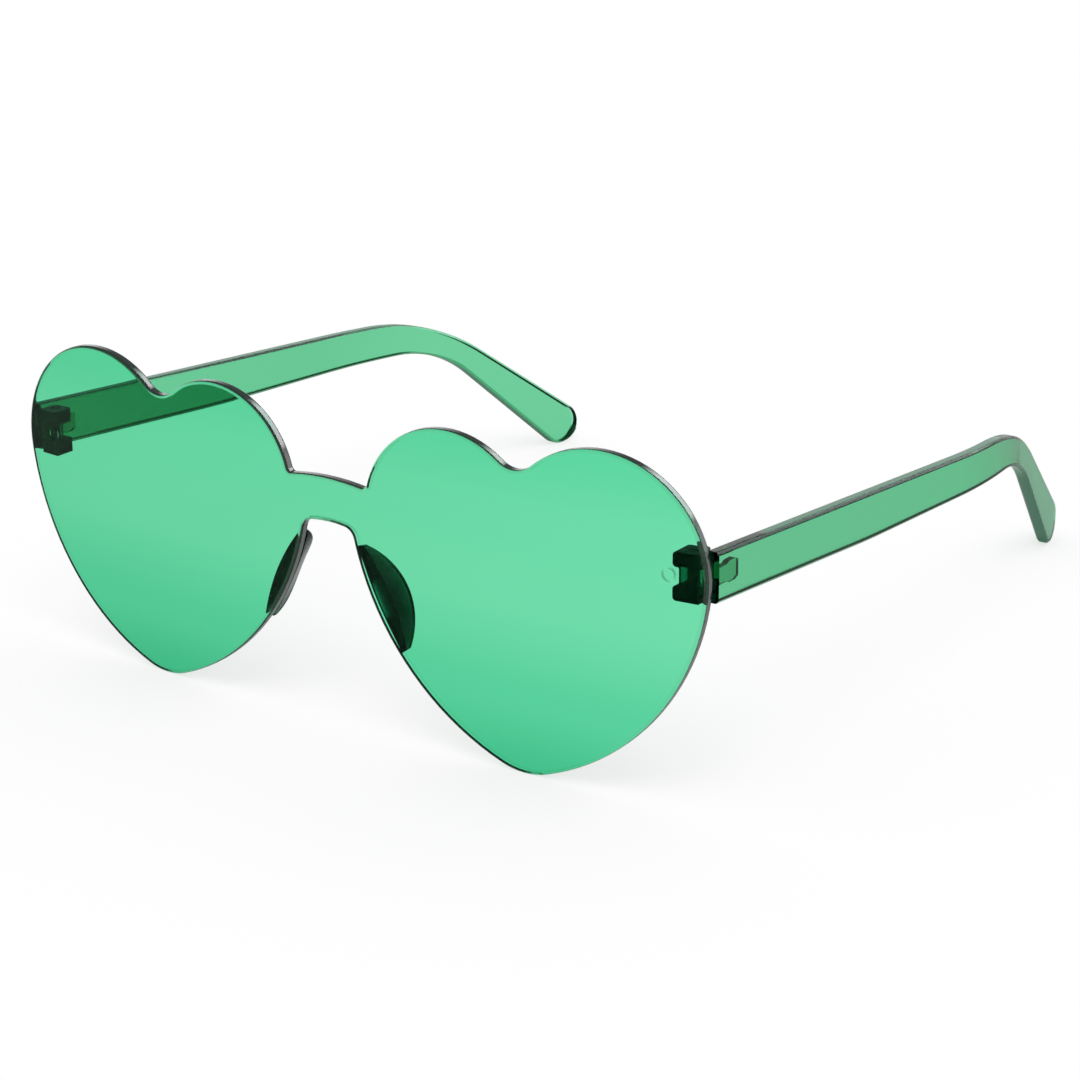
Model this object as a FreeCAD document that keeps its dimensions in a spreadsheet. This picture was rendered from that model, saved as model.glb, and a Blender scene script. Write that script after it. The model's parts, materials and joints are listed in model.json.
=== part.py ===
"""Heart shaped sunglasses: a bowed one-piece lens, two folding temples, their hinges and nose pads.

The lens is worked on with the middle of its front face at the origin, the front facing -Y, and the
temples running back along +Y. Left is the wearer's left, +X. Every right-hand piece mirrors its left one.
At the end the whole pair moves so that its footprint is centred on the origin, standing on Z = 0.
"""
import FreeCAD, Part
import math
import os
import Sketcher

Vector = FreeCAD.Vector
doc = FreeCAD.newDocument("heart_sunglasses")

# Driving sizes, in millimetres and degrees
SIZES = {
    # The sheet that both hearts are cut from
    "lens_width": 142.0,
    "lens_height": 56.7,
    "lens_thickness": 2.0,
    "lens_bow_radius": 657.0,
    "lens_edge_break": 0.4,
    # Heart outline, a chain of tangent arcs
    "outer_lobe_radius": 18.8,
    "inner_lobe_radius": 16.3,
    "inner_lobe_height": 55.5,
    "inner_lobe_offset": 24.0,
    "notch_radius": 4.6,
    "tip_offset": 38.7,
    "tip_radius": 12.6,
    "outer_flank_radius": 42.2,
    "inner_flank_radius": 46.8,
    # Bridge and the arch over the nose
    "nose_gap": 8.2,
    "bridge_height": 43.4,
    "bridge_crown_radius": 46.0,
    "bridge_corner_radius": 0.9,
    "arch_height": 35.7,
    "arch_crown_radius": 23.0,
    "arch_corner_radius": 2.2,
    # Round witness mark that the mould leaves on the front beside each hinge
    "mark_diameter": 2.4,
    "mark_groove": 0.25,
    "mark_depth": 0.15,
    "mark_inset": 6.5,
    "mark_rise": 0.6,
    # Film of glue under the pads and the hinge blocks
    "glue_gap": 0.05,
    # Nose pads
    "pad_top_height": 32.4,
    "pad_bottom_height": 15.5,
    "pad_end_width": 1.1,
    "pad_middle_width": 3.2,
    "pad_rim_width": 1.1,
    "pad_lean": 2.2,
    "pad_depth": 4.9,
    "pad_top_depth": 0.4,
    "pad_bottom_depth": 1.0,
    # Hinge blocks
    "hinge_height": 38.3,
    "pin_inset": 4.0,
    "pin_setback": 2.1,
    "block_height": 8.0,
    "ear_thickness": 2.5,
    "ear_inner_reach": 2.7,
    "ear_outer_reach": 1.7,
    "ear_back_reach": 1.7,
    "ear_corner_radius": 1.2,
    "block_edge_radius": 0.6,
    "notch_depth": 1.1,
    "notch_edge_radius": 0.3,
    "base_thickness": 0.7,
    # Hinge screws
    "screw_diameter": 1.2,
    "screw_head_diameter": 2.0,
    "screw_head_height": 0.6,
    "screw_slot_width": 0.3,
    "screw_slot_depth": 0.25,
    "screw_clearance": 0.04,
    # Temples
    "temple_thickness": 2.5,
    "temple_side_gap": 0.4,
    "temple_front_gap": 0.4,
    "temple_rise": 4.6,
    "temple_height": 8.4,
    "temple_pitch": 4.4,
    "temple_edge_break": 0.5,
    "belly_distance": 47.5,
    "belly_radius": 300.0,
    "bend_distance": 109.4,
    "bend_height": 6.7,
    "bend_setback": 1.7,
    "bend_top_radius": 56.0,
    "bend_bottom_radius": 31.0,
    "drop_top_angle": 35.7,
    "drop_bottom_angle": 41.7,
    "tip_corner_radius": 4.0,
    "curl_distance": 95.5,
    "curl_angle": 14.0,
    "curl_radius": 128.0,
    # Knuckle that carries each temple, and the tab that roots it
    "barrel_radius": 1.2,
    "knuckle_clearance": 0.1,
    "arm_half_width": 0.9,
    "arm_fillet_radius": 0.8,
    "tab_start": 2.4,
    "tab_length": 3.5,
    "tab_height": 3.5,
    "tab_thickness": 1.0,
    "tab_corner_radius": 1.1,
    # How far a cutting tool runs past what it cuts, and how deep a joined piece bites
    "overrun": 5.0,
    "bite": 0.3,
}

# Sizes that follow from the driving ones
FOLLOWERS = {
    "half_width": "=lens_width / 2",
    "back_radius": "=lens_bow_radius - lens_thickness",
    "seat_radius": "=back_radius - glue_gap",
    "mark_x": "=half_width - mark_inset",
    "pin_x": "=half_width - pin_inset",
    "pin_y": "=lens_bow_radius - sqrt(back_radius ^ 2 - pin_x ^ 2) + pin_setback",
    "block_inner_x": "=pin_x - ear_inner_reach",
    "block_outer_x": "=pin_x + ear_outer_reach",
    "block_back_y": "=pin_y + ear_back_reach",
    "block_width": "=ear_inner_reach + ear_outer_reach",
    "slot_height": "=block_height - 2 * ear_thickness",
    "base_back_y": "=pin_y - pin_setback + base_thickness",
    "knuckle_height": "=slot_height - 2 * knuckle_clearance",
    "hole_radius": "=screw_diameter / 2 + screw_clearance",
    "temple_inner_x": "=block_outer_x + temple_side_gap",
    "temple_outer_x": "=temple_inner_x + temple_thickness",
    "lens_edge_y": "=lens_bow_radius - sqrt(back_radius ^ 2 - half_width ^ 2)",
    "temple_front_y": "=lens_edge_y + temple_front_gap",
    "curl_outer_radius": "=curl_radius + temple_thickness",
    "tab_start_y": "=pin_y + tab_start",
    "tab_end_y": "=tab_start_y + tab_length",
}

sheet = doc.addObject("Spreadsheet::Sheet", "Sizes")
for row, (alias, content) in enumerate({**SIZES, **FOLLOWERS}.items(), start=1):
    sheet.set(f"A{row}", alias)
    sheet.setAlias(f"B{row}", alias)
    sheet.set(f"B{row}", str(content))
doc.recompute()


def size(alias):
    return float(sheet.get(alias))


def bind(thing, **formulas):
    """Ties properties of a document object to the sheet; names in a formula are the sheet's aliases."""
    for name, formula in formulas.items():
        words = formula.split()
        linked = [f"Sizes.{word}" if word.isidentifier() else word for word in words]
        thing.setExpression(name, " ".join(linked))


# Sketch planes: where a sketch's own axes lie in the object's frame
PLANES = {
    "front": FreeCAD.Rotation(Vector(1, 0, 0), Vector(0, 0, 1), Vector(0, -1, 0), "XYZ"),
    "side": FreeCAD.Rotation(Vector(0, 1, 0), Vector(0, 0, 1), Vector(1, 0, 0), "XYZ"),
    "plan": FreeCAD.Rotation(),
}


def closed_sketch(name, plane, curves, corners, radii):
    """A sketch of one closed outline, given in order as (start, middle or None, end).

    corners holds the curves that end in a corner, every other one runs on smoothly into the next.
    radii names the sheet's value for the arcs that have one.
    """
    sketch = doc.addObject("Sketcher::SketchObject", name)
    sketch.Placement = FreeCAD.Placement(Vector(), PLANES[plane])
    for start, middle, end in curves:
        if middle is None:
            sketch.addGeometry(Part.LineSegment(start, end))
        else:
            sketch.addGeometry(Part.Arc(start, middle, end))
    for index, curve in enumerate(curves):
        following = (index + 1) % len(curves)
        joint = (index, end_at(sketch, index, curve[2]), following, end_at(sketch, following, curve[2]))
        sketch.addConstraint(Sketcher.Constraint("Coincident" if index in corners else "Tangent", *joint))
    for index, alias in radii.items():
        tie(sketch, Sketcher.Constraint("Radius", index, size(alias)), alias)
    return sketch


def end_at(sketch, index, point):
    """Which end of a sketch's curve lies at a point: 1 its start, 2 its end."""
    start, end = sketch.getPoint(index, 1), sketch.getPoint(index, 2)
    return 1 if start.distanceToPoint(point) < end.distanceToPoint(point) else 2


def tie(sketch, constraint, formula):
    """Adds a constraint whose value follows the sheet."""
    number = sketch.addConstraint(constraint)
    bind(sketch, **{f"Constraints[{number}]": formula})


def tie_point(sketch, index, position, across, up):
    """Ties a point of a sketch to the sheet, measured from the sketch's origin; across None puts it on the axis."""
    point = sketch.getPoint(index, position)
    # A sketch counts its origin as -1 and its upright axis as -2
    if across is None:
        sketch.addConstraint(Sketcher.Constraint("PointOnObject", index, position, -2))
    else:
        tie(sketch, Sketcher.Constraint("DistanceX", -1, 1, index, position, point.x), across)
    if up is not None:
        tie(sketch, Sketcher.Constraint("DistanceY", -1, 1, index, position, point.y), up)


def tie_centre(sketch, index, across, up):
    """Ties the centre of a sketch's arc, which counts as its point 3."""
    tie_point(sketch, index, 3, across, up)


def rounded_outline(name, plane, corners):
    """A closed sketch through corners (x, y, radius alias or None), with the named corners rounded."""
    points = [Vector(x, y, 0) for x, y, _ in corners]
    stops = []
    for index, (x, y, alias) in enumerate(corners):
        corner = points[index]
        if alias is None:
            stops.append((corner, None, corner))
            continue
        back = (points[index - 1] - corner).normalize()
        ahead = (points[(index + 1) % len(points)] - corner).normalize()
        half = back.getAngle(ahead) / 2
        radius = size(alias)
        inward = (back + ahead).normalize()
        run = radius / math.tan(half)
        middle = corner + inward * (radius / math.sin(half) - radius)
        stops.append((corner + back * run, middle, corner + ahead * run))
    curves = []
    sharp = []
    radii = {}
    for index, (start, middle, end) in enumerate(stops):
        following = (index + 1) % len(stops)
        if middle is not None:
            radii[len(curves)] = corners[index][2]
            curves.append((start, middle, end))
        if corners[following][2] is None:
            sharp.append(len(curves))
        curves.append((end, None, stops[following][0]))
    return closed_sketch(name, plane, curves, sharp, radii)


def extrusion(name, sketch, direction, ahead, behind="0"):
    solid = doc.addObject("Part::Extrusion", name)
    solid.Base = sketch
    solid.DirMode = "Custom"
    solid.Dir = direction
    solid.Solid = True
    bind(solid, LengthFwd=ahead, LengthRev=behind)
    return solid


def cylinder(name, radius, height, placement):
    solid = doc.addObject("Part::Cylinder", name)
    bind(solid, Radius=radius, Height=height)
    solid.Placement = placement
    return solid


def box(name, low, length, width, height):
    solid = doc.addObject("Part::Box", name)
    bind(solid, Length=length, Width=width, Height=height)
    solid.Placement.Base = low
    return solid


def boolean(kind, name, *shapes):
    solid = doc.addObject(kind, name)
    if kind == "Part::Cut":
        solid.Base, solid.Tool = shapes
    else:
        solid.Shapes = list(shapes)
    solid.Refine = True
    return solid


def mirrored(name, source):
    solid = doc.addObject("Part::Mirroring", name)
    solid.Source = source
    solid.Normal = Vector(1, 0, 0)
    return solid


# Geometry of tangent circles, in a sketch's own plane


def crossing(centre_a, radius_a, centre_b, radius_b, side):
    """Where two circles cross, on the left (side 1) or right (side -1) of the way from a to b."""
    way = centre_b - centre_a
    apart = way.Length
    along = (radius_a ** 2 - radius_b ** 2 + apart ** 2) / (2 * apart)
    across = math.sqrt(radius_a ** 2 - along ** 2)
    way.normalize()
    return centre_a + way * along + Vector(-way.y, way.x, 0) * (across * side)


def towards(centre, target, radius):
    """The point of a circle that faces a target, or faces away from it where radius is negative."""
    return centre + (target - centre).normalize() * radius


def arc_between(centre, radius, start, end):
    """The shorter arc of a circle from start to end, as (start, middle, end)."""
    return (start, towards(centre, (start + end) / 2, radius), end)


# The heart outline, right half of the front view: bridge, lobes, flanks, tip and nose arch
outer_lobe_radius = size("outer_lobe_radius")
inner_lobe_radius = size("inner_lobe_radius")
notch_radius = size("notch_radius")
tip_radius = size("tip_radius")
outer_flank_radius = size("outer_flank_radius")
inner_flank_radius = size("inner_flank_radius")
bridge_crown_radius = size("bridge_crown_radius")
bridge_corner_radius = size("bridge_corner_radius")
arch_crown_radius = size("arch_crown_radius")
arch_corner_radius = size("arch_corner_radius")

outer_lobe = Vector(size("half_width") - outer_lobe_radius, size("lens_height") - outer_lobe_radius, 0)
inner_lobe = Vector(size("inner_lobe_offset"), size("inner_lobe_height") - inner_lobe_radius, 0)
tip = Vector(size("tip_offset"), tip_radius, 0)
notch = crossing(inner_lobe, inner_lobe_radius + notch_radius, outer_lobe, outer_lobe_radius + notch_radius, 1)
outer_flank = crossing(outer_lobe, outer_flank_radius - outer_lobe_radius, tip, outer_flank_radius - tip_radius, -1)
inner_flank_x = size("nose_gap") / 2 + inner_flank_radius
inner_flank_rise = math.sqrt((inner_flank_radius - tip_radius) ** 2 - (inner_flank_x - tip.x) ** 2)
inner_flank = Vector(inner_flank_x, tip_radius + inner_flank_rise, 0)
bridge = Vector(0, size("bridge_height") - bridge_crown_radius, 0)
bridge_corner = crossing(
    bridge, bridge_crown_radius + bridge_corner_radius, inner_lobe, inner_lobe_radius + bridge_corner_radius, 1)
arch = Vector(0, size("arch_height") - arch_crown_radius, 0)
arch_corner = crossing(
    arch, arch_crown_radius - arch_corner_radius, inner_flank, inner_flank_radius + arch_corner_radius, 1)

bridge_middle = Vector(0, size("bridge_height"), 0)
bridge_end = towards(bridge, bridge_corner, bridge_crown_radius)
inner_lobe_start = towards(inner_lobe, bridge_corner, inner_lobe_radius)
notch_start = towards(inner_lobe, notch, inner_lobe_radius)
notch_end = towards(outer_lobe, notch, outer_lobe_radius)
outer_flank_start = towards(outer_flank, outer_lobe, outer_flank_radius)
outer_flank_end = towards(outer_flank, tip, outer_flank_radius)
inner_flank_start = towards(inner_flank, tip, inner_flank_radius)
inner_flank_end = towards(inner_flank, arch_corner, inner_flank_radius)
arch_start = towards(arch, arch_corner, arch_crown_radius)
arch_middle = Vector(0, size("arch_height"), 0)
inner_lobe_top = inner_lobe + Vector(0, inner_lobe_radius, 0)
outer_lobe_side = (notch_end - outer_lobe).normalize() + (outer_flank_start - outer_lobe).normalize()
outer_lobe_middle = outer_lobe + outer_lobe_side.normalize() * outer_lobe_radius

heart_curves = [
    arc_between(bridge, bridge_crown_radius, bridge_middle, bridge_end),
    arc_between(bridge_corner, bridge_corner_radius, bridge_end, inner_lobe_start),
    (inner_lobe_start, inner_lobe_top, notch_start),
    arc_between(notch, notch_radius, notch_start, notch_end),
    (notch_end, outer_lobe_middle, outer_flank_start),
    arc_between(outer_flank, outer_flank_radius, outer_flank_start, outer_flank_end),
    arc_between(tip, tip_radius, outer_flank_end, inner_flank_start),
    arc_between(inner_flank, inner_flank_radius, inner_flank_start, inner_flank_end),
    arc_between(arch_corner, arch_corner_radius, inner_flank_end, arch_start),
    arc_between(arch, arch_crown_radius, arch_start, arch_middle),
    (arch_middle, None, bridge_middle),
]
heart_names = [
    "bridge_crown", "bridge_corner", "inner_lobe", "notch", "outer_lobe", "outer_flank", "tip", "inner_flank",
    "arch_corner", "arch_crown"]
heart_index = {name: index for index, name in enumerate(heart_names)}
heart_radii = {index: f"{name}_radius" for name, index in heart_index.items()}
midline = len(heart_names)
heart_corners = (heart_index["arch_crown"], midline)
heart_outline = closed_sketch("heart_outline", "front", heart_curves, heart_corners, heart_radii)
for crown, height, middle in (
        ("bridge_crown", "bridge_height", bridge_middle), ("arch_crown", "arch_height", arch_middle)):
    index = heart_index[crown]
    tie_centre(heart_outline, index, None, None)
    tie_point(heart_outline, index, end_at(heart_outline, index, middle), None, height)
heart_centres = {
    "inner_lobe": ("inner_lobe_offset", "inner_lobe_height - inner_lobe_radius"),
    "outer_lobe": ("half_width - outer_lobe_radius", "lens_height - outer_lobe_radius"),
    "tip": ("tip_offset", "tip_radius"),
    "inner_flank": ("nose_gap / 2 + inner_flank_radius", None),
}
for name, (across, up) in heart_centres.items():
    tie_centre(heart_outline, heart_index[name], across, up)

# The bowed sheet is the shell between two upright cylinders; each half heart is cut out of it
bow_axis = FreeCAD.Placement(Vector(0, size("lens_bow_radius"), -size("overrun")), FreeCAD.Rotation())
front_face = cylinder("front_face", "lens_bow_radius", "lens_height + 2 * overrun", bow_axis)
back_face = cylinder("back_face", "back_radius", "lens_height + 2 * overrun", bow_axis)
bowed_sheet = boolean("Part::Cut", "bowed_sheet", front_face, back_face)
half_blank = extrusion("half_blank", heart_outline, Vector(0, 1, 0), "lens_edge_y + overrun", "overrun")
half_sheet = boolean("Part::MultiCommon", "half_sheet", half_blank, bowed_sheet)

# The witness mark is a fine ring groove square to the bowed front face
mark_turn = math.degrees(math.asin(size("mark_x") / size("lens_bow_radius")))
mark_facing = FreeCAD.Rotation(Vector(0, 0, 1), mark_turn).multiply(FreeCAD.Rotation(Vector(1, 0, 0), 90))
mark_outward = mark_facing.multVec(Vector(0, 0, 1))
mark_floor = bow_axis.Base + mark_outward * (size("lens_bow_radius") - size("mark_depth"))
mark_floor.z = size("hinge_height") + size("mark_rise")
mark_place = FreeCAD.Placement(mark_floor, mark_facing)
mark_disc = cylinder("mark_disc", "mark_diameter / 2", "overrun", mark_place)
mark_core = cylinder("mark_core", "mark_diameter / 2 - mark_groove", "overrun", mark_place)
witness_mark = boolean("Part::Cut", "witness_mark", mark_disc, mark_core)
marked_half = boolean("Part::Cut", "marked_half", half_sheet, witness_mark)
other_half = mirrored("other_half", marked_half)
lens_blank = boolean("Part::MultiFuse", "lens_blank", marked_half, other_half)
doc.recompute()


def softened(name, blank, width, keeps_sharp):
    """Breaks the edges of a solid, apart from those that keeps_sharp picks out."""
    solid = doc.addObject("Part::Chamfer", name)
    solid.Base = blank
    edges = enumerate(blank.Shape.Edges, start=1)
    solid.Edges = [(number, size(width), size(width)) for number, edge in edges if not keeps_sharp(edge)]
    return solid


def not_on_rim(edge):
    """True for the round edges of a witness mark and for the straight seams across the sheet's thickness."""
    return edge.isClosed() or edge.Curve.TypeId == "Part::GeomLine"


heart_lens = softened("heart_lens", lens_blank, "lens_edge_break", not_on_rim)

# Pads and hinge blocks sit against the back of the sheet, a film of glue away from it
seat_face = cylinder("seat_face", "seat_radius", "lens_height + 2 * overrun", bow_axis)

# Nose pad: a fin along the inner flank that leans away from the nose, with a half-moon rim
def pad_section(name, nose_offset, width, depth):
    """A crescent along the inner flank; nose_offset and width are (at the ends, at the middle)."""
    flank_top = math.asin((inner_flank.y - size("pad_top_height")) / inner_flank_radius)
    flank_bottom = math.asin((inner_flank.y - size("pad_bottom_height")) / inner_flank_radius)

    def on_flank(slope, inward):
        reach = inner_flank_radius - inward
        return inner_flank - Vector(math.cos(slope), math.sin(slope), 0) * reach

    flank_middle = (flank_top + flank_bottom) / 2
    nose_side = [
        on_flank(flank_top, nose_offset[0]),
        on_flank(flank_middle, nose_offset[1]),
        on_flank(flank_bottom, nose_offset[0])]
    cheek_side = [
        on_flank(flank_bottom, nose_offset[0] + width[0]),
        on_flank(flank_middle, nose_offset[1] + width[1]),
        on_flank(flank_top, nose_offset[0] + width[0])]
    curves = [
        tuple(nose_side), (nose_side[2], None, cheek_side[0]),
        tuple(cheek_side), (cheek_side[2], None, nose_side[0])]
    sketch = closed_sketch(name, "front", curves, range(len(curves)), {})
    sketch.Placement.Base = Vector(0, depth, 0)
    return sketch, nose_side


end_width = size("pad_end_width")
pad_seat_y = size("lens_thickness") - size("bite")
pad_rim_y = size("lens_thickness") + size("pad_depth")
pad_seat, pad_edge = pad_section("pad_seat", (0, 0), (end_width, size("pad_middle_width")), pad_seat_y)
rim_widths = (end_width, size("pad_rim_width"))
pad_rim, _ = pad_section("pad_rim", (0, size("pad_lean")), rim_widths, pad_rim_y)
pad_fin = doc.addObject("Part::Loft", "pad_fin")
pad_fin.Sections = [pad_seat, pad_rim]
pad_fin.Solid = True
pad_fin.Ruled = True

# The half-moon is a cylinder lying across the pad, through the rim's two ends and its deepest point
moon_top = Vector(pad_edge[0].x, size("lens_thickness") + size("pad_top_depth"), pad_edge[0].y)
moon_bottom = Vector(pad_edge[2].x, size("lens_thickness") + size("pad_bottom_depth"), pad_edge[2].y)
moon_chord = moon_bottom - moon_top
moon_rise = size("pad_depth") - (size("pad_top_depth") + size("pad_bottom_depth")) / 2
moon_radius = ((moon_chord.Length / 2) ** 2 + moon_rise ** 2) / (2 * moon_rise)
moon_across = Vector(-moon_chord.z, 0, moon_chord.x).normalize()
moon_outward = moon_across.cross(moon_chord).normalize()
moon_middle = (moon_top + moon_bottom) / 2 - moon_outward * (moon_radius - moon_rise)
moon_centre = moon_middle - moon_across * size("overrun")
half_moon = doc.addObject("Part::Cylinder", "half_moon")
half_moon.Radius = moon_radius
bind(half_moon, Height="2 * overrun + pad_middle_width")
half_moon.Placement = FreeCAD.Placement(moon_centre, FreeCAD.Rotation(Vector(0, 0, 1), moon_across))
nose_pad_left = boolean("Part::MultiCommon", "nose_pad_left", pad_fin, half_moon, seat_face)

# Hinge block: a C seen from the front, with a slot behind its base plate for the temple's knuckle
inner_x = size("block_inner_x")
outer_x = size("block_outer_x")
notch_x = inner_x + size("notch_depth")
hinge_z = size("hinge_height")
block_low = hinge_z - size("block_height") / 2
block_high = hinge_z + size("block_height") / 2
slot_low = hinge_z - size("slot_height") / 2
slot_high = hinge_z + size("slot_height") / 2
pin_x = size("pin_x")
pin_y = size("pin_y")
overrun = size("overrun")

block_front = rounded_outline("block_front", "front", [
    (outer_x, block_low, None),
    (outer_x, block_high, None),
    (inner_x, block_high, "block_edge_radius"),
    (inner_x, slot_high, "block_edge_radius"),
    (notch_x, slot_high, "notch_edge_radius"),
    (notch_x, slot_low, "notch_edge_radius"),
    (inner_x, slot_low, "block_edge_radius"),
    (inner_x, block_low, "block_edge_radius"),
])
block_plan = rounded_outline("block_plan", "plan", [
    (inner_x, 0, None),
    (outer_x, 0, None),
    (outer_x, size("block_back_y"), "ear_corner_radius"),
    (inner_x, size("block_back_y"), "ear_corner_radius"),
])
block_c = extrusion("block_c", block_front, Vector(0, 1, 0), "block_back_y + overrun")
block_column = extrusion("block_column", block_plan, Vector(0, 0, 1), "lens_height")
block_blank = boolean("Part::MultiCommon", "block_blank", block_c, block_column, seat_face)
knuckle_slot = box(
    "knuckle_slot", Vector(inner_x - overrun, size("base_back_y"), slot_low),
    "block_width + 2 * overrun", "pin_setback + overrun", "slot_height")
slotted_block = boolean("Part::Cut", "slotted_block", block_blank, knuckle_slot)


def upright(height):
    return FreeCAD.Placement(Vector(pin_x, pin_y, height), FreeCAD.Rotation())


head_seat_z = block_high - size("screw_head_height")
ear_holes = cylinder("ear_holes", "hole_radius", "lens_height", upright(0))
head_recess = cylinder("head_recess", "screw_head_diameter / 2 + screw_clearance", "overrun", upright(head_seat_z))
screw_way = boolean("Part::MultiFuse", "screw_way", ear_holes, head_recess)
hinge_block_left = boolean("Part::Cut", "hinge_block_left", slotted_block, screw_way)

# Hinge screw: slotted cheese head sunk flush in the upper ear, shank flush with the lower one
shank = cylinder("shank", "screw_diameter / 2", "block_height", upright(block_low))
head = cylinder("head", "screw_head_diameter / 2", "screw_head_height", upright(head_seat_z))
screw_blank = boolean("Part::MultiFuse", "screw_blank", shank, head)
slot_corner = Vector(
    pin_x - size("screw_head_diameter"), pin_y - size("screw_slot_width") / 2, block_high - size("screw_slot_depth"))
driver_slot = box("driver_slot", slot_corner, "2 * screw_head_diameter", "screw_slot_width", "overrun")
hinge_screw_left = boolean("Part::Cut", "hinge_screw_left", screw_blank, driver_slot)

# Temple: a side profile and a plan band, cut out of each other
front_y = size("temple_front_y")
pitch = math.radians(size("temple_pitch"))
drop_top = math.radians(size("drop_top_angle"))
drop_bottom = math.radians(size("drop_bottom_angle"))
tip_corner_radius = size("tip_corner_radius")


def down_slope(angle):
    return Vector(math.cos(angle), -math.sin(angle), 0)


temple_top = Vector(front_y, hinge_z + size("temple_rise"), 0)
temple_bottom = temple_top - Vector(0, size("temple_height"), 0)
bend_top = temple_top + down_slope(pitch) * size("bend_distance")
belly = temple_bottom + down_slope(pitch) * size("belly_distance")
bend_bottom = bend_top + Vector(size("bend_setback"), -size("bend_height"), 0)

# The lower corner of the tip rests on the ground: its rounding's centre is one radius above it
bottom_way = down_slope(drop_bottom)
bottom_inward = Vector(-bottom_way.y, bottom_way.x, 0)
drop_fall = bend_bottom.y + bottom_inward.y * tip_corner_radius - tip_corner_radius
tip_centre = bend_bottom + bottom_inward * tip_corner_radius + bottom_way * (drop_fall / math.sin(drop_bottom))
end_way = down_slope((drop_top + drop_bottom) / 2)
end_point = tip_centre + end_way * tip_corner_radius
top_way = down_slope(drop_top)
tip_low = bend_bottom + bottom_way * ((end_point - bend_bottom).dot(end_way) / bottom_way.dot(end_way))
tip_high = bend_top + top_way * ((end_point - bend_top).dot(end_way) / top_way.dot(end_way))

temple_side = rounded_outline("temple_side", "side", [
    (temple_top.x, temple_top.y, None),
    (bend_top.x, bend_top.y, "bend_top_radius"),
    (tip_high.x, tip_high.y, "tip_corner_radius"),
    (tip_low.x, tip_low.y, "tip_corner_radius"),
    (bend_bottom.x, bend_bottom.y, "bend_bottom_radius"),
    (belly.x, belly.y, "belly_radius"),
    (temple_bottom.x, temple_bottom.y, None),
])
temple_slab = extrusion("temple_slab", temple_side, Vector(1, 0, 0), "half_width + overrun")

# The plan band runs straight back, then curls inwards behind the ear
temple_inner_x = size("temple_inner_x")
temple_outer_x = size("temple_outer_x")
curl = math.radians(size("curl_angle"))
curl_y = front_y + size("curl_distance")
curl_way = Vector(-math.sin(curl), math.cos(curl), 0)
curl_inner = Vector(temple_inner_x, curl_y, 0)
curl_outer = Vector(temple_outer_x, curl_y + size("temple_thickness") * math.tan(curl / 2), 0)
curl_run = size("bend_distance")
band_end_inner = curl_inner + curl_way * curl_run
band_end_outer = curl_outer + curl_way * curl_run
temple_plan = rounded_outline("temple_plan", "plan", [
    (temple_inner_x, front_y, None),
    (temple_outer_x, front_y, None),
    (curl_outer.x, curl_outer.y, "curl_outer_radius"),
    (band_end_outer.x, band_end_outer.y, None),
    (band_end_inner.x, band_end_inner.y, None),
    (curl_inner.x, curl_inner.y, "curl_radius"),
])
temple_band = extrusion("temple_band", temple_plan, Vector(0, 0, 1), "lens_height")
temple_bar = boolean("Part::MultiCommon", "temple_bar", temple_slab, temple_band)
doc.recompute()



def at_front(edge):
    return all(abs(vertex.Y - front_y) < Part.Precision.confusion() for vertex in edge.Vertexes)


temple_soft = softened("temple_soft", temple_bar, "temple_edge_break", at_front)

# Knuckle: a barrel on the screw, an arm back to the temple and the tab that roots it
knuckle_low = hinge_z - size("knuckle_height") / 2
bite_x = temple_inner_x + size("bite")
tab_x = temple_inner_x - size("tab_thickness")
arm_half = size("arm_half_width")
barrel = cylinder("barrel", "barrel_radius", "knuckle_height", upright(knuckle_low))
arm_plan = rounded_outline("arm_plan", "plan", [
    (pin_x, pin_y - arm_half, None),
    (bite_x, pin_y - arm_half, None),
    (bite_x, size("tab_end_y"), None),
    (tab_x, size("tab_end_y"), None),
    (tab_x, pin_y + arm_half, "arm_fillet_radius"),
    (pin_x, pin_y + arm_half, None),
])
arm_plan.Placement.Base = Vector(0, 0, knuckle_low)
arm = extrusion("arm", arm_plan, Vector(0, 0, 1), "knuckle_height")
tab_low = hinge_z - size("tab_height") / 2
tab_high = hinge_z + size("tab_height") / 2
tab_side = rounded_outline("tab_side", "side", [
    (size("tab_start_y"), tab_low, "tab_corner_radius"),
    (size("tab_start_y"), tab_high, "tab_corner_radius"),
    (size("tab_end_y"), tab_high, "tab_corner_radius"),
    (size("tab_end_y"), tab_low, "tab_corner_radius"),
])
tab_side.Placement.Base = Vector(tab_x, 0, 0)
tab = extrusion("tab", tab_side, Vector(1, 0, 0), "tab_thickness + bite")
temple_blank = boolean("Part::MultiFuse", "temple_blank", temple_soft, barrel, arm, tab)
barrel_hole = cylinder("barrel_hole", "hole_radius", "lens_height", upright(0))
temple_left = boolean("Part::Cut", "temple_left", temple_blank, barrel_hole)

doc.recompute()

# Centre the footprint: from the lens's front to the temple tips
depth = temple_left.Shape.optimalBoundingBox().YMax
left_pieces = [nose_pad_left, hinge_block_left, hinge_screw_left, temple_left]
pieces = [heart_lens]
for piece in [heart_lens] + left_pieces:
    piece.Placement.Base = Vector(0, -depth / 2, 0)
for piece in left_pieces:
    twin = mirrored(piece.Name.replace("left", "right"), piece)
    pieces += [piece, twin]
doc.recompute()

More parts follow.
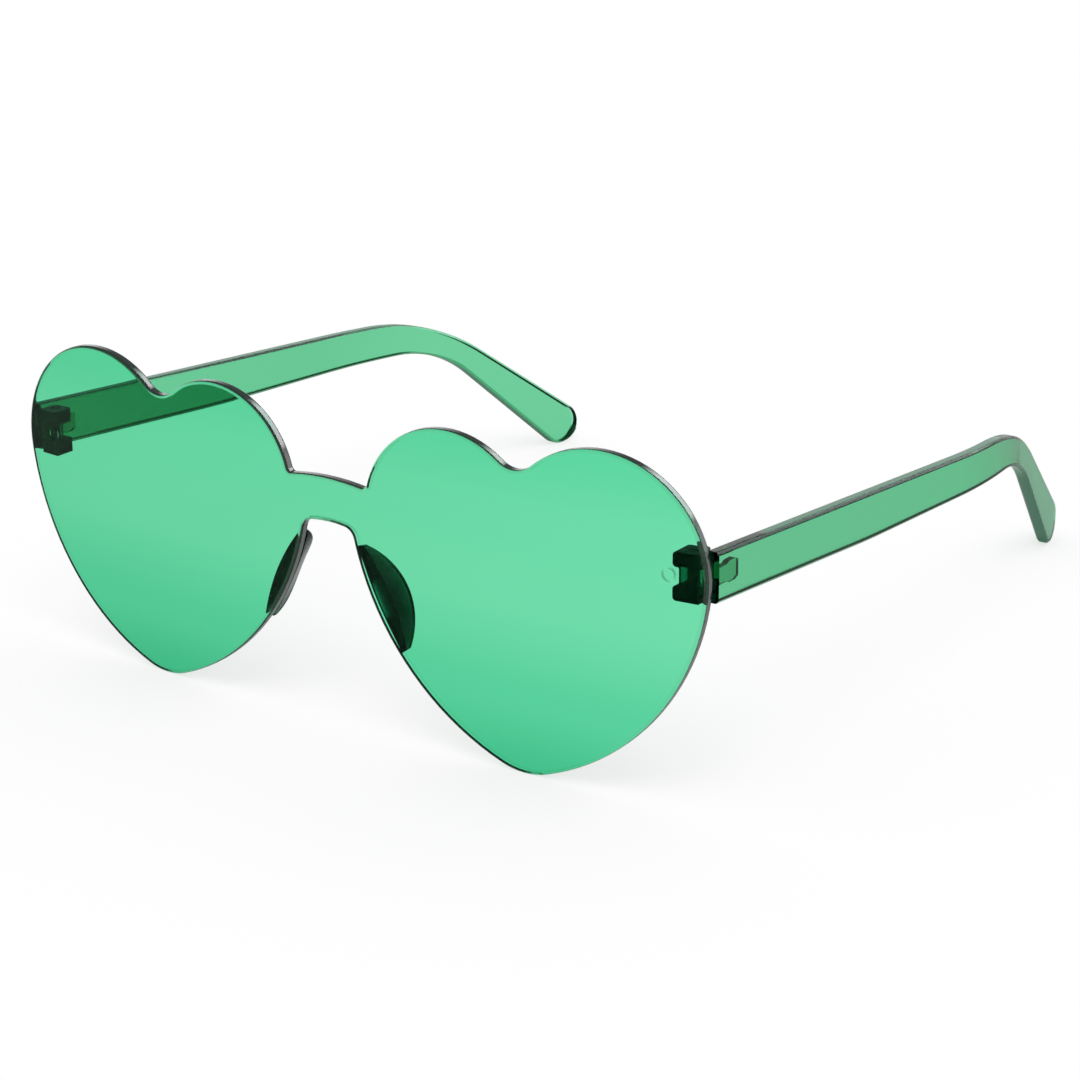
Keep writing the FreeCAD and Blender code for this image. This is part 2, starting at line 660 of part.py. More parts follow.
# Every object of the document has to be sound before anything is written
for thing in doc.Objects:
    if {"Invalid", "Error"} & set(thing.State):
        raise RuntimeError(f"{thing.Name} did not compute: {thing.State}")
os.makedirs("parts", exist_ok=True)
for piece in pieces:
    piece.Label = piece.Name
    if piece.Shape.isNull() or not piece.Shape.isValid() or len(piece.Shape.Solids) != 1:
        raise RuntimeError(f"{piece.Name} is not one sound solid")
for piece in pieces:
    piece.Shape.exportStep(f"parts/{piece.Label}.step")
    bounds = piece.Shape.optimalBoundingBox()
    print(piece.Label, round(piece.Shape.Volume, 2), "mm3", bounds)
print("pin at", round(pin_x, 3), round(pin_y - depth / 2, 3), "depth", round(depth, 3))
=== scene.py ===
"""Heart shaped sunglasses in clear green plastic, standing on a white studio floor."""

import json
import math

import bmesh
import bpy
from mathutils import Matrix, Vector


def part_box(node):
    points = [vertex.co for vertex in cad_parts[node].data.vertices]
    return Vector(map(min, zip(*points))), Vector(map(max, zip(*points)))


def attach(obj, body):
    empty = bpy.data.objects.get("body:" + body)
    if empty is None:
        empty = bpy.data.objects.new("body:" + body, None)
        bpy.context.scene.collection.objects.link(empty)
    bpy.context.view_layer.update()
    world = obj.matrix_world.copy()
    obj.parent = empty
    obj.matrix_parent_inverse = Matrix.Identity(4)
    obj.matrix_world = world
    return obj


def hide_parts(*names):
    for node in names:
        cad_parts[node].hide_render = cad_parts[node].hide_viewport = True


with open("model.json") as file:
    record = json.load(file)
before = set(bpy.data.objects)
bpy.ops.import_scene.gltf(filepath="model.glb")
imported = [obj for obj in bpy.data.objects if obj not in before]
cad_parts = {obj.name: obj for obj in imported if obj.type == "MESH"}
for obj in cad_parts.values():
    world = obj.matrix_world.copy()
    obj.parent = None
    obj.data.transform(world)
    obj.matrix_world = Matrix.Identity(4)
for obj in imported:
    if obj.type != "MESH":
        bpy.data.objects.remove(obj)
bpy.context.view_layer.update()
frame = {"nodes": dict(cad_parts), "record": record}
nodes = frame["nodes"]
scene = bpy.context.scene
scene.view_settings.view_transform = "Standard"

# Clear plastic: what a millimetre of it leaves of red, green and blue light
SHEET_CLEARNESS = (0.319, 0.638, 0.49)
TEMPLE_CLEARNESS = (0.407, 0.668, 0.534)
BLOCK_CLEARNESS = (0.003, 0.1, 0.05)
PAD_CLEARNESS = (0.008, 0.15, 0.1)
MILLIMETRES = 1000

# Its surface: the tint of what it mirrors, its least and most roughness, and moulded ripples
IOR = 1.49
DEEP_MIRROR = (0.06, 0.25, 0.17)
PALE_MIRROR = (0.1, 0.4, 0.28)
SHEET_GLOSS = (0.0, 0.02)
TEMPLE_GLOSS = (0.01, 0.04)
MOULDED_GLOSS = (0.02, 0.08)
SMEAR_SCALE = 60
SMEAR_DETAIL = 4
SMEAR_RANGE = (0.35, 0.75)
NO_RIPPLE = 0
MOULDED_RIPPLE = 0.05
RIPPLE_SCALE = 90
RIPPLE_DETAIL = 2
RIPPLE_DEPTH = 0.0002

# Painted shade on the lens, darker towards the bottom and a little at the top: height in metres, and what
# is left of its light there
TOP_HEIGHT = 0.0567
UNTINTED = (1.0, 1.0, 1.0)
LENS_PAINTED_SHADE = (
    (0.0, (0.42, 0.83, 0.74)),
    (0.012, (0.64, 0.92, 0.87)),
    (0.03, UNTINTED),
    (0.042, (0.95, 0.99, 0.98)),
    (TOP_HEIGHT, (0.68, 0.94, 0.88)),
)
NO_PAINTED_SHADE = ((0.0, UNTINTED), (TOP_HEIGHT, UNTINTED))

# The wall of the lens's rim has a brilliant clear coat
RIM_ATTRIBUTE = "rim_polish"
POLISH_IOR = 2.4

# Painted glow: narrow edges get a pale green colour and let less light through, standing in for the light
# that the plastic has gathered
PAINTED_GLOW_ATTRIBUTE = "painted_edge_glow"
PAINTED_GLOW_SHARE = 0.5
PAINTED_GLOW_COLOUR = (0.25, 0.85, 0.5)
RIM_PAINTED_GLOW = 0.2

# Painted shade: the plastic about each hinge pin is coloured dark
PIN_PLACE = (0.067, -0.0695626)
KNUCKLE_REACH = 0.0014
KNUCKLE_FADE = 0.0003
KNUCKLE_PAINTED_SHADE = (0.05, 0.2, 0.14)

# Hinge screws: blackened steel with turning marks
BLACKENED_STEEL = (0.05, 0.055, 0.05)
TURNING_SCALE = 2500
TURNING_ROUGHNESS = (0.28, 0.42)


def new_material(name):
    material = bpy.data.materials.new(name)
    material.use_nodes = True
    material.node_tree.nodes.clear()
    return material, material.node_tree


def add_node(tree, kind, inputs=None, **options):
    """A new node with its options set, and its inputs linked to outputs or given plain values."""
    node = tree.nodes.new(kind)
    for option, value in options.items():
        setattr(node, option, value)
    for name, source in (inputs or {}).items():
        if isinstance(source, bpy.types.NodeSocket):
            tree.links.new(source, node.inputs[name])
        else:
            node.inputs[name].default_value = source
    return node


def calculated(tree, operation, *sources):
    return add_node(tree, "ShaderNodeMath", dict(enumerate(sources)), operation=operation).outputs["Value"]


def remapped(tree, source, spread=(0, 1), result=(0, 1)):
    """A value whose spread is stretched to another one; past its ends it stays level."""
    node = add_node(tree, "ShaderNodeMapRange", {
        "Value": source,
        "From Min": spread[0],
        "From Max": spread[1],
        "To Min": result[0],
        "To Max": result[1],
    })
    return node.outputs["Result"]


def blended(tree, kind, share, first, second):
    node = add_node(tree, "ShaderNodeMix", {"Factor": share, "A": first, "B": second}, data_type=kind)
    return node.outputs["Result"]


def painted_shade_and_glow_at(tree, place, painted_glow, painted_shade_by_height):
    """Colour with painted shade by height and about the hinge pins, and a painted glow on the edges."""
    axes = add_node(tree, "ShaderNodeSeparateXYZ", {"Vector": place}).outputs
    top = painted_shade_by_height[-1][0]
    shade = add_node(tree, "ShaderNodeValToRGB", {"Fac": remapped(tree, axes["Z"], (0, top))})
    ramp = shade.color_ramp
    ramp.interpolation = "EASE"
    while len(ramp.elements) < len(painted_shade_by_height):
        ramp.elements.new(1)
    for stop, (level, colour) in zip(ramp.elements, painted_shade_by_height):
        stop.position = level / top
        stop.color = (*colour, 1)
    # Painted shade: the colour darkens about each hinge pin
    either_side = calculated(tree, "ABSOLUTE", axes["X"])
    plan = add_node(tree, "ShaderNodeCombineXYZ", {"X": either_side, "Y": axes["Y"]})
    from_pin = add_node(
        tree, "ShaderNodeVectorMath", {0: plan.outputs["Vector"], 1: (*PIN_PLACE, 0)}, operation="DISTANCE")
    past_knuckle = remapped(
        tree, from_pin.outputs["Value"], (KNUCKLE_REACH, KNUCKLE_REACH + KNUCKLE_FADE))
    shaded_colour = blended(tree, "RGBA", past_knuckle, (*KNUCKLE_PAINTED_SHADE, 1), shade.outputs["Color"])
    # Painted glow: the edges take a pale green colour
    return blended(tree, "RGBA", painted_glow, shaded_colour, (*PAINTED_GLOW_COLOUR, 1))


def gloss_at(tree, place, gloss):
    """Roughness between the two values of a gloss, in faint smears."""
    smears = add_node(tree, "ShaderNodeTexNoise", {
        "Vector": place, "Scale": SMEAR_SCALE, "Detail": SMEAR_DETAIL})
    return remapped(tree, smears.outputs["Fac"], SMEAR_RANGE, gloss)


def ripple_at(tree, place, ripple):
    flow = add_node(tree, "ShaderNodeTexNoise", {
        "Vector": place, "Scale": RIPPLE_SCALE, "Detail": RIPPLE_DETAIL})
    wave = add_node(tree, "ShaderNodeBump", {
        "Strength": ripple, "Distance": RIPPLE_DEPTH, "Height": flow.outputs["Fac"]})
    return wave.outputs["Normal"]


def clear_plastic(name, clearness, painted_shade_by_height, mirror_tint, gloss, ripple):
    """Tinted see-through plastic, coloured by the depth that light crosses, with painted shade and a
    painted edge glow in its surface colour.
    """
    material, tree = new_material(name)
    place = add_node(tree, "ShaderNodeTexCoord").outputs["Object"]
    rim = add_node(tree, "ShaderNodeAttribute", attribute_name=RIM_ATTRIBUTE).outputs["Fac"]
    painted_glow = add_node(tree, "ShaderNodeAttribute", attribute_name=PAINTED_GLOW_ATTRIBUTE).outputs["Fac"]
    # The base colour carries the painted shade and the painted edge glow
    plastic = add_node(tree, "ShaderNodeBsdfPrincipled", {
        "Base Color": painted_shade_and_glow_at(tree, place, painted_glow, painted_shade_by_height),
        "Roughness": gloss_at(tree, place, gloss),
        "IOR": IOR,
        "Normal": ripple_at(tree, place, ripple),
        "Specular Tint": (*mirror_tint, 1),
        "Transmission Weight": remapped(tree, painted_glow, result=(1, 1 - PAINTED_GLOW_SHARE)),
        "Coat Weight": rim,
        "Coat Roughness": 0,
        "Coat IOR": POLISH_IOR,
    })

    # Lamps and bounced light pass straight through, so the shadow is a pale one
    path = add_node(tree, "ShaderNodeLightPath").outputs
    surface = add_node(tree, "ShaderNodeMixShader", {
        0: calculated(tree, "MAXIMUM", path["Is Shadow Ray"], path["Is Diffuse Ray"]),
        1: plastic.outputs["BSDF"],
        2: add_node(tree, "ShaderNodeBsdfTransparent").outputs["BSDF"],
    })

    losses = [-math.log(part) * MILLIMETRES for part in clearness]
    densest = max(losses)
    depth_tint = add_node(tree, "ShaderNodeVolumeAbsorption", {
        "Color": [1 - loss / densest for loss in losses] + [1],
        "Density": densest,
    })
    add_node(tree, "ShaderNodeOutputMaterial", {
        "Surface": surface.outputs["Shader"], "Volume": depth_tint.outputs["Volume"]})
    return material


def turned_steel(name):
    """Steel with the fine rings that turning leaves."""
    material, tree = new_material(name)
    place = add_node(tree, "ShaderNodeTexCoord").outputs["Object"]
    rings = add_node(
        tree, "ShaderNodeTexWave", {"Vector": place, "Scale": TURNING_SCALE}, bands_direction="Z")
    steel = add_node(tree, "ShaderNodeBsdfPrincipled", {
        "Base Color": (*BLACKENED_STEEL, 1),
        "Metallic": 1,
        "Roughness": remapped(tree, rings.outputs["Fac"], result=TURNING_ROUGHNESS),
    })
    add_node(tree, "ShaderNodeOutputMaterial", {"Surface": steel.outputs["BSDF"]})
    return material


FINISHES = {
    # The lens carries a painted shade by height; the other plastics carry none
    "lens_plastic": clear_plastic(
        "clear_green_lens", SHEET_CLEARNESS, LENS_PAINTED_SHADE, DEEP_MIRROR, SHEET_GLOSS, NO_RIPPLE),
    "temple_plastic": clear_plastic(
        "clear_green_temple", TEMPLE_CLEARNESS, NO_PAINTED_SHADE, PALE_MIRROR, TEMPLE_GLOSS, NO_RIPPLE),
    "hinge_plastic": clear_plastic(
        "dark_green_hinge", BLOCK_CLEARNESS, NO_PAINTED_SHADE, DEEP_MIRROR, MOULDED_GLOSS, MOULDED_RIPPLE),
    "pad_plastic": clear_plastic(
        "dark_green_pad", PAD_CLEARNESS, NO_PAINTED_SHADE, DEEP_MIRROR, MOULDED_GLOSS, MOULDED_RIPPLE),
    "screw_steel": turned_steel("turned_steel"),
}

# All skins
WELD_DISTANCE = 1e-6
CREASE_ANGLE = math.radians(60)
ROUND_PROFILE = 0.5
EVEN_WEIGHT = 50


def welded(name):
    """A copy of a solid's mesh whose loose triangles are joined."""
    node = nodes[name]
    skin = bmesh.new()
    skin.from_mesh(node.data)
    skin.transform(node.matrix_world)
    bmesh.ops.remove_doubles(skin, verts=skin.verts, dist=WELD_DISTANCE)
    return skin


def everything(skin):
    return skin.verts[:] + skin.edges[:] + skin.faces[:]


def corners_of(parts):
    return [part for part in parts if isinstance(part, bmesh.types.BMVert)]


def edges_of(parts):
    return [part for part in parts if isinstance(part, bmesh.types.BMEdge)]


def rounded_edges(skin, edges, size, steps):
    bmesh.ops.bevel(
        skin, geom=edges, offset=size, offset_type="OFFSET", affect="EDGES", segments=steps,
        profile=ROUND_PROFILE, material=-1)


# Lens: a bowed sheet with rounded edges and a fine ring groove beside each hinge
BOW_RADIUS = 0.657
LENS_THICKNESS = 0.002
RIM_ROUNDING = 0.0006
RIM_STEPS = 8
STRIP_WIDTH = 0.0025
MARK_X = 0.0645
MARK_Z = 0.0389
MARK_RADIUS = 0.0012
MARK_GROOVE = 0.00025
MARK_DEPTH = 0.00015
MARK_STEPS = 48
FACES_FRONT = -0.4
FACES_FRONT_FULLY = -0.9
FACES_SIDEWAYS = 0.3
FACES_FLATLY = 0.9999


def is_outline(edge):
    """True where the lens's wall meets the broken edge of its front."""
    facing = sorted(face.normal.y for face in edge.link_faces)
    return FACES_FRONT_FULLY < facing[0] < FACES_FRONT and abs(facing[1]) < FACES_SIDEWAYS


def flat_sheet(name):
    """The lens before it is bowed, drawn from the solid's outline, with its edges rounded."""
    skin = welded(name)
    outline = {vertex for edge in skin.edges if is_outline(edge) for vertex in edge.verts}
    rest = [vertex for vertex in skin.verts if vertex not in outline]
    bmesh.ops.delete(skin, geom=rest, context="VERTS")
    for vertex in skin.verts:
        vertex.co.y = 0
    front = bmesh.ops.edgeloop_fill(skin, edges=skin.edges[:])["faces"]
    sheet = bmesh.ops.extrude_face_region(skin, geom=front, use_keep_orig=True)["geom"]
    bmesh.ops.translate(skin, verts=corners_of(sheet), vec=(0, LENS_THICKNESS, 0))
    bmesh.ops.recalc_face_normals(skin, faces=skin.faces)
    rims = [edge for edge in skin.edges if edge.calc_face_angle() > CREASE_ANGLE]
    rounded_edges(skin, rims, RIM_ROUNDING, RIM_STEPS)
    return skin


def mark_rim(skin):
    """Notes where the rim gets a painted glow, and where its flat wall is polished."""
    for attribute in (RIM_ATTRIBUTE, PAINTED_GLOW_ATTRIBUTE):
        skin.verts.layers.float.new(attribute)
    polish = skin.verts.layers.float[RIM_ATTRIBUTE]
    painted_glow = skin.verts.layers.float[PAINTED_GLOW_ATTRIBUTE]
    for vertex in skin.verts:
        depth = min(vertex.co.y, LENS_THICKNESS - vertex.co.y)
        vertex[painted_glow] = RIM_PAINTED_GLOW if depth > WELD_DISTANCE else 0
        vertex[polish] = depth > RIM_ROUNDING - WELD_DISTANCE


def ring_groove(skin, x):
    """Adds a groove about a round core, and returns the border that the front face leaves open."""
    place = Matrix.Translation((x, 0, MARK_Z))
    upright = Matrix.Rotation(math.pi / 2, 4, "X")
    circle = bmesh.ops.create_circle(
        skin, segments=MARK_STEPS, radius=MARK_RADIUS, matrix=place @ upright)
    border = list({edge for vertex in circle["verts"] for edge in vertex.link_edges})
    core_share = 1 - MARK_GROOVE / MARK_RADIUS
    ring = border
    for sink, share in ((MARK_DEPTH, 1), (0, core_share), (-MARK_DEPTH, 1)):
        drawn = bmesh.ops.extrude_edge_only(skin, edges=ring)["geom"]
        ring = edges_of(drawn)
        corners = corners_of(drawn)
        bmesh.ops.translate(skin, verts=corners, vec=(0, sink, 0))
        bmesh.ops.scale(skin, verts=corners, vec=(share, 1, share), space=place.inverted())
    bmesh.ops.edgeloop_fill(skin, edges=ring)
    return border


def groove_front(skin):
    """Fills the front face again, with the two ring grooves in it."""
    front = min(skin.faces, key=lambda face: face.normal.y * face.calc_area())
    border = front.edges[:]
    bmesh.ops.delete(skin, geom=[front], context="FACES_ONLY")
    for x in (-MARK_X, MARK_X):
        border += ring_groove(skin, x)
    bmesh.ops.triangle_fill(skin, edges=border, use_beauty=True, normal=(0, -1, 0))


def cut_strips(skin, half_width):
    """Cuts the broad faces into upright strips, so that they can follow the bow."""
    cuts = math.floor(half_width / STRIP_WIDTH)
    for cut in range(-cuts, cuts + 1):
        broad = [face for face in skin.faces if abs(face.normal.y) > FACES_FLATLY]
        sides = list({edge for face in broad for edge in face.edges})
        corners = list({vertex for face in broad for vertex in face.verts})
        bmesh.ops.bisect_plane(
            skin, geom=corners + sides + broad, dist=WELD_DISTANCE,
            plane_co=(cut * STRIP_WIDTH, 0, 0), plane_no=(1, 0, 0))


def lens_skin(name):
    front_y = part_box(name)[0][1]
    half_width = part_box(name)[1][0]
    skin = flat_sheet(name)
    mark_rim(skin)
    groove_front(skin)
    cut_strips(skin, half_width)
    bmesh.ops.recalc_face_normals(skin, faces=skin.faces)
    for vertex in skin.verts:
        x, depth, _ = vertex.co
        vertex.co.y = front_y + BOW_RADIUS - math.sqrt((BOW_RADIUS - depth) ** 2 - x ** 2)
    return skin


# Temples: the hinge end of the solid, and behind it the bar drawn on along its own curves
HINGE_HEIGHT = 0.0383
TEMPLE_RISE = 0.0046
TEMPLE_HEIGHT = 0.0084
TEMPLE_PITCH = math.radians(4.4)
BELLY_DISTANCE = 0.0475
BELLY_RADIUS = 0.3
BEND_DISTANCE = 0.1094
BEND_HEIGHT = 0.0067
BEND_SETBACK = 0.0017
BEND_TOP_RADIUS = 0.056
BEND_BOTTOM_RADIUS = 0.031
DROP_TOP = math.radians(35.7)
DROP_BOTTOM = math.radians(41.7)
TIP_RADIUS = 0.004
TEMPLE_MIDDLE_X = 0.07035
CURL_DISTANCE = 0.0955
CURL_ANGLE = math.radians(14)
CURL_RADIUS = 0.12925
CURL_INNER_RADIUS = 0.128
HINGE_END = 0.0135
EDGE_BREAK = 0.0005
EDGE_ROUNDING = 0.00016
EDGE_STEPS = 2
SOFT_ANGLES = (math.radians(30), math.radians(65))
FLAT_ANGLE = math.radians(0.2)
BAR_STEPS = 44
BEND_STEPS = 24
DROP_STEPS = 20
TIP_STEPS = 18
FACES_UP = 0.85
FACES_DOWN = -0.3


def down_slope(angle):
    return Vector((math.cos(angle), -math.sin(angle)))


def straight_run(start, end):
    return (end - start).length, lambda share: start.lerp(end, share)


def arc_course(start, side, turn):
    return lambda share: start + side - Matrix.Rotation(-turn * share, 2) @ side


def rounded_runs(points, radii):
    """Runs through points with rounded inner corners, each as its length and its course."""
    runs = []
    start = points[0]
    for before, corner, after, radius in zip(points, points[1:], points[2:], radii):
        way_in = (corner - before).normalized()
        way_out = (after - corner).normalized()
        turn = way_in.angle_signed(way_out)
        reach = radius * math.tan(abs(turn) / 2)
        curve_start = corner - way_in * reach
        side = Vector((way_in.y, -way_in.x)) * math.copysign(radius, turn)
        runs.append(straight_run(start, curve_start))
        runs.append((radius * abs(turn), arc_course(curve_start, side, turn)))
        start = corner + way_out * reach
    runs.append(straight_run(start, points[-1]))
    return runs


def point_along(runs, share):
    """The point at a share of the runs' whole length."""
    left = share * sum(length for length, _ in runs)
    for length, course in runs:
        if left <= length:
            return course(left / length)
        left -= length
    return runs[-1][1](1)


def temple_stations(front_y):
    """Pairs of a top and a bottom point, side view, from the hinge end to the tip."""
    top = Vector((front_y, HINGE_HEIGHT + TEMPLE_RISE))
    bottom = top - Vector((0, TEMPLE_HEIGHT))
    bend_top = top + down_slope(TEMPLE_PITCH) * BEND_DISTANCE
    belly = bottom + down_slope(TEMPLE_PITCH) * BELLY_DISTANCE
    bend_bottom = bend_top + Vector((BEND_SETBACK, -BEND_HEIGHT))
    way = down_slope(DROP_BOTTOM)
    inward = Vector((-way.y, way.x)) * TIP_RADIUS
    fall = bend_bottom.y + inward.y - TIP_RADIUS
    centre = bend_bottom + inward + way * (fall / math.sin(DROP_BOTTOM))
    end_way = down_slope((DROP_TOP + DROP_BOTTOM) / 2)
    end = centre + end_way * TIP_RADIUS
    top_way = down_slope(DROP_TOP)
    tip_low = bend_bottom + way * ((end - bend_bottom).dot(end_way) / way.dot(end_way))
    tip_high = bend_top + top_way * ((end - bend_top).dot(end_way) / top_way.dot(end_way))
    middle = (tip_low + tip_high) / 2
    step = down_slope(TEMPLE_PITCH) * (HINGE_END / math.cos(TEMPLE_PITCH))
    upper = rounded_runs([top + step, bend_top, tip_high, middle], [BEND_TOP_RADIUS, TIP_RADIUS])
    lower = rounded_runs(
        [bottom + step, belly, bend_bottom, tip_low, middle],
        [BELLY_RADIUS, BEND_BOTTOM_RADIUS, TIP_RADIUS])
    groups = (
        (upper[0:1], lower[0:3], BAR_STEPS),
        (upper[1:2], lower[3:4], BEND_STEPS),
        (upper[2:3], lower[4:5], DROP_STEPS),
        (upper[3:5], lower[5:7], TIP_STEPS),
    )
    for above, below, steps in groups:
        for number in range(1, steps + 1):
            yield point_along(above, number / steps), point_along(below, number / steps)


def curl_at(y, front_y):
    """Middle of the bar in plan, and how far it has turned inwards there."""
    half_turn = math.tan(CURL_ANGLE / 2)
    corner = front_y + CURL_DISTANCE + (CURL_RADIUS - CURL_INNER_RADIUS) * half_turn
    run = y - corner + CURL_RADIUS * half_turn
    if run <= 0:
        return TEMPLE_MIDDLE_X, 0
    if run < CURL_RADIUS * math.sin(CURL_ANGLE):
        angle = math.asin(run / CURL_RADIUS)
        return TEMPLE_MIDDLE_X - CURL_RADIUS * (1 - math.cos(angle)), angle
    return TEMPLE_MIDDLE_X - (y - corner) * math.tan(CURL_ANGLE), CURL_ANGLE


def hinge_end(skin, front_y):
    """Leaves only the hinge end of the solid, open at the back, with its broken edges rounded."""
    bmesh.ops.bisect_plane(
        skin, geom=everything(skin), dist=WELD_DISTANCE, plane_co=(0, front_y + HINGE_END, 0),
        plane_no=(0, 1, 0), clear_outer=True)
    bmesh.ops.dissolve_limit(skin, angle_limit=FLAT_ANGLE, verts=skin.verts, edges=skin.edges)
    least, most = SOFT_ANGLES
    soft = [
        edge for edge in skin.edges
        if len(edge.link_faces) == 2 and least < edge.calc_face_angle() < most]
    rounded_edges(skin, soft, EDGE_ROUNDING, EDGE_STEPS)


def drawn_from(vertex, earlier):
    """The earlier corner that a fresh one was drawn from."""
    ends = (edge.other_vert(vertex) for edge in vertex.link_edges)
    return next(end for end in ends if end in earlier)


def draw_bar(skin, front_y):
    """Draws the open border on, station by station, to the closed tip."""
    ring = [edge for edge in skin.edges if edge.is_boundary]
    corners = {vertex for edge in ring for vertex in edge.verts}
    high = max(vertex.co.z for vertex in corners)
    low = min(vertex.co.z for vertex in corners)
    spots = {}
    for vertex in corners:
        upper = vertex.co.z > (high + low) / 2
        inset = high - vertex.co.z if upper else vertex.co.z - low
        spots[vertex] = (vertex.co.x - TEMPLE_MIDDLE_X, upper, inset)
    for top, bottom in temple_stations(front_y):
        drawn = bmesh.ops.extrude_edge_only(skin, edges=ring)["geom"]
        ring = edges_of(drawn)
        spots = {vertex: spots[drawn_from(vertex, spots)] for vertex in corners_of(drawn)}
        height = (top - bottom).length
        down = (bottom - top) / max(height, WELD_DISTANCE)
        squeeze = min(1, height / (2 * EDGE_BREAK))
        for vertex, (aside, upper, inset) in spots.items():
            y, z = top + down * inset * squeeze if upper else bottom - down * inset * squeeze
            middle, angle = curl_at(y, front_y)
            vertex.co = (middle + aside / math.cos(angle), y, z)
    bmesh.ops.remove_doubles(skin, verts=skin.verts, dist=WELD_DISTANCE)


def mark_narrow_faces(skin, front_y):
    """Notes where the painted glow goes: the top and the underside of the bar."""
    skin.normal_update()
    painted_glow = skin.verts.layers.float.new(PAINTED_GLOW_ATTRIBUTE)
    for vertex in skin.verts:
        narrow = not FACES_DOWN < vertex.normal.z < FACES_UP
        vertex[painted_glow] = narrow and vertex.co.y > front_y + HINGE_END


def temple_skin(name):
    """Either temple, drawn on the +X side and then put back on its own."""
    skin = welded(name)
    front_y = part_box(name)[0][1]
    side = math.copysign(1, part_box(name)[0][0])
    bmesh.ops.scale(skin, verts=skin.verts, vec=(side, 1, 1))
    bmesh.ops.recalc_face_normals(skin, faces=skin.faces)
    hinge_end(skin, front_y)
    draw_bar(skin, front_y)
    bmesh.ops.scale(skin, verts=skin.verts, vec=(side, 1, 1))
    bmesh.ops.recalc_face_normals(skin, faces=skin.faces)
    mark_narrow_faces(skin, front_y)
    return skin


# Dressing: each solid gets one skin that rides on the same body
SKINS = {"heart_lens": lens_skin, "temple_left": temple_skin, "temple_right": temple_skin}
BODY_NODES = frame["record"]["behaviour"]["bodies"]


def polished(name, slot):
    """A smooth skin over a solid: one closed mesh whose broken edges shade as rounded ones."""
    mesh = bpy.data.meshes.new(f"{name}_polished")
    skin = SKINS.get(name, welded)(name)
    for face in skin.faces:
        face.smooth = True
        face.material_index = 0
    for edge in skin.edges:
        edge.smooth = edge.calc_face_angle() < CREASE_ANGLE
    skin.to_mesh(mesh)
    skin.free()
    mesh.materials.append(FINISHES[slot])
    piece = bpy.data.objects.new(f"{name}_polished", mesh)
    scene.collection.objects.link(piece)
    rounding = piece.modifiers.new("rounding", "WEIGHTED_NORMAL")
    rounding.mode = "FACE_AREA"
    rounding.weight = EVEN_WEIGHT
    rounding.keep_sharp = True
    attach(piece, next(body for body, members in BODY_NODES.items() if name in members))
    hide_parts(name)


for subpart in frame["record"]["subparts"]:
    polished(subpart["node"], subpart["material_slot"])


# Studio floor: white to the camera, brighter through the plastic, dimmer where the plastic mirrors it
FLOOR_SIZE = 8
FLOOR_PAPER = (0.8, 0.8, 0.8)
FLOOR_GLOW = {"Is Camera Ray": 0.66, "Is Glossy Ray": 0.13, "Is Transmission Ray": 1.47}

bpy.ops.mesh.primitive_plane_add(size=FLOOR_SIZE)
floor = bpy.context.object
floor.name = "studio_floor"
floor_paint, tree = new_material("studio_floor")
path = add_node(tree, "ShaderNodeLightPath").outputs
floor_level = 0
for ray, glow in FLOOR_GLOW.items():
    floor_level = calculated(tree, "MULTIPLY_ADD", path[ray], glow, floor_level)
floor_paper = add_node(tree, "ShaderNodeBsdfDiffuse", {"Color": (*FLOOR_PAPER, 1)})
floor_glow = add_node(tree, "ShaderNodeEmission", {"Strength": floor_level})
floor_sum = add_node(
    tree, "ShaderNodeAddShader", {0: floor_paper.outputs["BSDF"], 1: floor_glow.outputs["Emission"]})
add_node(tree, "ShaderNodeOutputMaterial", {"Surface": floor_sum.outputs["Shader"]})
floor.data.materials.append(floor_paint)

# Studio walls: pale at the horizon, overexposed through the plastic, dim overhead, and in mirrored
# light a softbox behind and to the right; other surfaces only get even light from them
SKY_LIGHT = 0.4
BACKLIGHT = 2
WALL_TOP = math.radians(12)
CEILING_EDGE = math.radians(30)
CEILING_LEVEL = 0.12
SOFTBOX_EDGES = {"X": (-0.15, 0.05), "Y": (0.35, 0.5), "Z": (0.3, 0.37)}
SOFTBOX_LEVEL = 3

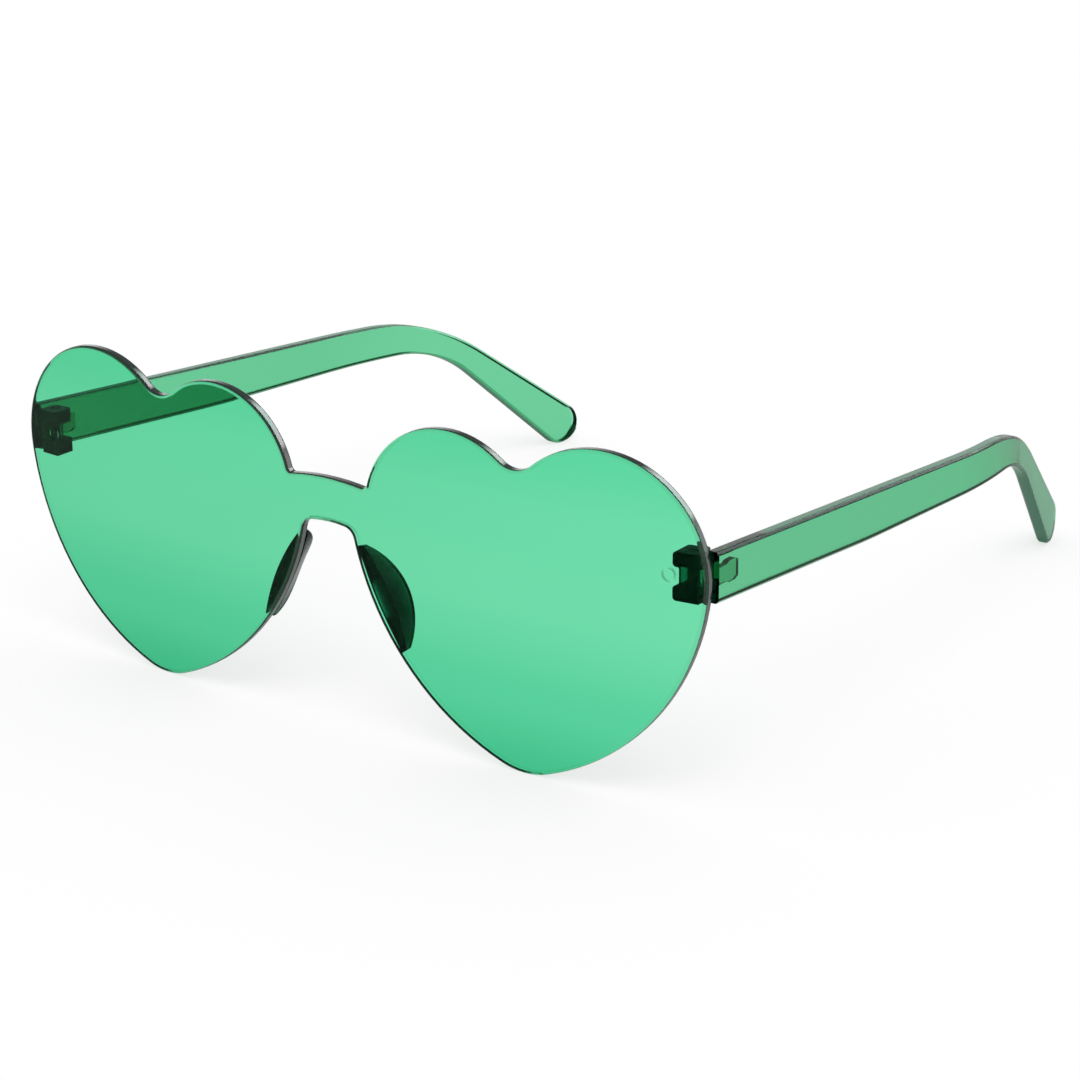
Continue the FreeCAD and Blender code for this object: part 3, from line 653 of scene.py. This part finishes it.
world = bpy.data.worlds.new("studio")
scene.world = world
world.use_nodes = True
tree = world.node_tree
tree.nodes.clear()
path = add_node(tree, "ShaderNodeLightPath").outputs
aim = add_node(tree, "ShaderNodeTexCoord").outputs["Generated"]
axes = add_node(tree, "ShaderNodeSeparateXYZ", {"Vector": aim}).outputs
wall = remapped(
    tree, axes["Z"], (math.sin(WALL_TOP), math.sin(CEILING_EDGE)), (1, CEILING_LEVEL))
backlight = remapped(tree, path["Is Transmission Ray"], result=(1, BACKLIGHT))
bright_wall = calculated(tree, "MULTIPLY", wall, backlight)
in_softbox = path["Is Reflection Ray"]
for axis, edge in SOFTBOX_EDGES.items():
    in_softbox = calculated(tree, "MULTIPLY", in_softbox, remapped(tree, axes[axis], edge))
seen_level = blended(tree, "FLOAT", in_softbox, bright_wall, SOFTBOX_LEVEL)
is_seen = 0
for ray in FLOOR_GLOW:
    is_seen = calculated(tree, "MAXIMUM", is_seen, path[ray])
sky_level = blended(tree, "FLOAT", is_seen, SKY_LIGHT, seen_level)
sky = add_node(tree, "ShaderNodeBackground", {"Strength": sky_level})
add_node(tree, "ShaderNodeOutputWorld", {"Surface": sky.outputs["Background"]})

# One broad lamp over the front
LAMP_PLACE = (0.5, -0.7, 1.6)
LAMP_ANGLE = math.radians(40)
LAMP_POWER = 0.4

lamp = bpy.data.lights.new("overhead_light", "SUN")
lamp.angle = LAMP_ANGLE
lamp.energy = LAMP_POWER
overhead = bpy.data.objects.new("overhead_light", lamp)
scene.collection.objects.link(overhead)
overhead.location = LAMP_PLACE
overhead.rotation_euler = (-Vector(LAMP_PLACE)).to_track_quat("-Z", "Y").to_euler()

# Camera: fitted to the photograph's outline, image taken as square
CAMERA_PLACE = (0.2842, -0.41733, 0.18866)
CAMERA_RIGHT = (0.81709, 0.57647, -0.00728)
CAMERA_UP = (-0.18665, 0.27647, 0.94272)
CAMERA_AHEAD = (-0.54546, 0.76893, -0.3335)
SENSOR_WIDTH = 36
FOCAL_LENGTH = 95.204
NEAREST_SEEN = 0.01
FARTHEST_SEEN = 20

camera = bpy.data.objects.new("photo_camera", bpy.data.cameras.new("photo_camera"))
scene.collection.objects.link(camera)
camera.data.sensor_fit = "HORIZONTAL"
camera.data.sensor_width = SENSOR_WIDTH
camera.data.lens = FOCAL_LENGTH
camera.data.clip_start = NEAREST_SEEN
camera.data.clip_end = FARTHEST_SEEN
turn = Matrix((CAMERA_RIGHT, CAMERA_UP, [-part for part in CAMERA_AHEAD])).transposed()
camera.matrix_world = Matrix.Translation(CAMERA_PLACE) @ turn.to_4x4()
scene.camera = camera
